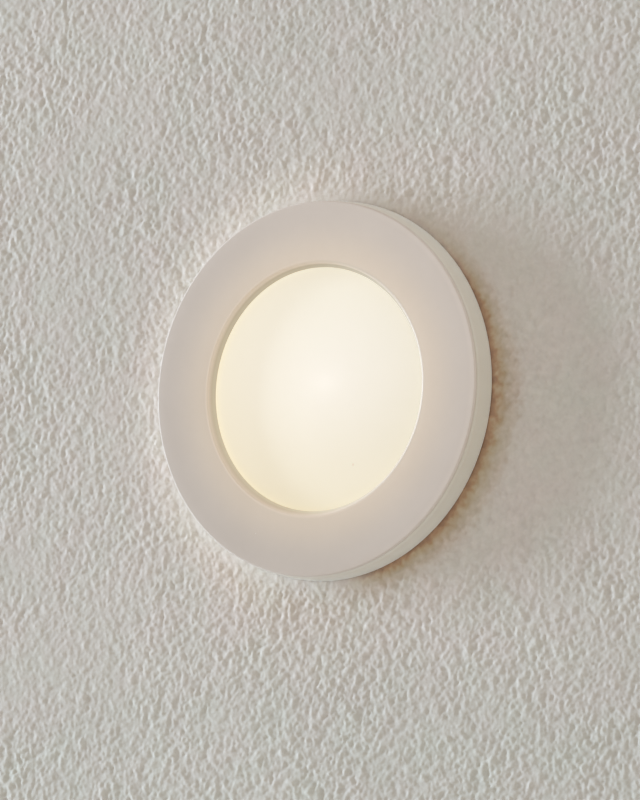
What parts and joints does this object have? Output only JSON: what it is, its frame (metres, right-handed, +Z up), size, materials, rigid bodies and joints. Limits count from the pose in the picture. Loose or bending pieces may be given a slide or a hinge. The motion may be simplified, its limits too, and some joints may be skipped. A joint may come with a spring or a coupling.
{
  "type": "recessed wall light",
  "caption": "Round recessed LED wall light: white trim ring, opal diffuser, finned cup with spring clips, rear cover and cable gland.",
  "frame": {"origin": "on the light's axis, in the plane of the wall's surface, where the gasket seats", "axes": "+Y into the wall along the light's axis, the face looks along -Y, +Z up, +X to the right seen from the front"},
  "size_m": [0.1002, 0.0539, 0.086],
  "materials": {
    "trim_paint": "matte, fine powder coat",
    "opal": "satin opal, lit from behind",
    "cast_aluminium": "blasted die casting",
    "white_plastic": "fine texture",
    "grey_plastic": "satin",
    "orange_plastic": "moulded",
    "black_plastic": "moulded",
    "black_rubber": "matte",
    "clear_silicone": "satin",
    "grey_silicone": "matte",
    "red_insulation": "satin",
    "magnet": "nickel plated",
    "zinc_steel": "zinc plated sheet",
    "steel": "stainless",
    "spring_steel": "drawn wire",
    "board_white": "solder mask on aluminium",
    "board_green": "solder mask",
    "led_yellow": "phosphor",
    "contact_brass": "bright",
    "copper": "enamelled wire",
    "ferrite": "sintered",
    "tape_yellow": "polyester tape",
    "blue_epoxy": "dipped epoxy",
    "green_epoxy": "dipped epoxy",
    "capacitor_sleeve": "shrink sleeve"
  },
  "bodies": {
    "base": {"strike_plates": "steel", "diffuser_ring": "white_plastic", "ring_screws": "steel", "diffuser": "opal", "diffuser_seal": "clear_silicone", "housing": "cast_aluminium", "wall_gasket": "black_rubber", "reflector": "white_plastic", "led_board": "board_white", "leds": "led_yellow", "led_board_screws": "steel", "thermal_pad": "grey_silicone", "led_leads": "red_insulation", "lead_grommet": "black_rubber", "driver_cup": "white_plastic", "driver_board": "board_green", "driver_board_screws": "steel", "terminal_block": "white_plastic", "terminal_contacts": "contact_brass", "fuse_resistor": "green_epoxy", "varistor": "blue_epoxy", "bridge_rectifier": "black_plastic", "bulk_capacitor": "capacitor_sleeve", "output_capacitor": "capacitor_sleeve", "driver_ic": "black_plastic", "choke_core": "ferrite", "choke_winding": "copper", "transformer_core": "ferrite", "transformer_winding": "tape_yellow", "rear_cover": "white_plastic", "cover_gasket": "black_rubber", "cover_screws": "steel", "gland_body": "grey_plastic", "gland_washer": "black_rubber", "gland_locknut": "grey_plastic", "gland_seal": "black_rubber", "gland_nut": "grey_plastic", "clip_bracket_left": "zinc_steel", "clip_bracket_right": "zinc_steel", "bracket_screws": "steel", "clip_pin_left": "steel", "clip_pin_right": "steel", "clip_spring_left": "spring_steel", "clip_spring_right": "spring_steel"},
    "trim": {"trim_ring": "trim_paint", "trim_magnets": "magnet"},
    "clip_left": {"clip_arm_left": "zinc_steel", "clip_pad_left": "black_rubber"},
    "clip_right": {"clip_arm_right": "zinc_steel", "clip_pad_right": "black_rubber"},
    "button_left": {"terminal_button_left": "orange_plastic"},
    "button_right": {"terminal_button_right": "orange_plastic"}
  },
  "joints": [
    {"name": "trim_pull", "type": "slide", "parent": "base", "child": "trim", "axis": [0, -1, 0], "range_m": [0, 0.03]},
    {"name": "clip_left_swing", "type": "hinge", "parent": "base", "child": "clip_left", "pos_m": [-0.0322, 0.018, 0], "axis": [0, 0, -1], "range_deg": [0, 122], "stiffness_Nm_per_rad": 0.012, "springref_deg": -34.38, "deforming": ["clip_spring_left"]},
    {"name": "clip_right_swing", "type": "hinge", "parent": "base", "child": "clip_right", "pos_m": [0.0322, 0.018, 0], "axis": [0, 0, 1], "range_deg": [0, 122], "stiffness_Nm_per_rad": 0.012, "springref_deg": -34.38, "deforming": ["clip_spring_right"]},
    {"name": "button_left_press", "type": "slide", "parent": "base", "child": "button_left", "axis": [0, -1, 0], "range_m": [0, 0.0013], "stiffness_N_per_m": 400, "springref_m": -0.0005},
    {"name": "button_right_press", "type": "slide", "parent": "base", "child": "button_right", "axis": [0, -1, 0], "range_m": [0, 0.0013], "stiffness_N_per_m": 400, "springref_m": -0.0005}
  ]
}
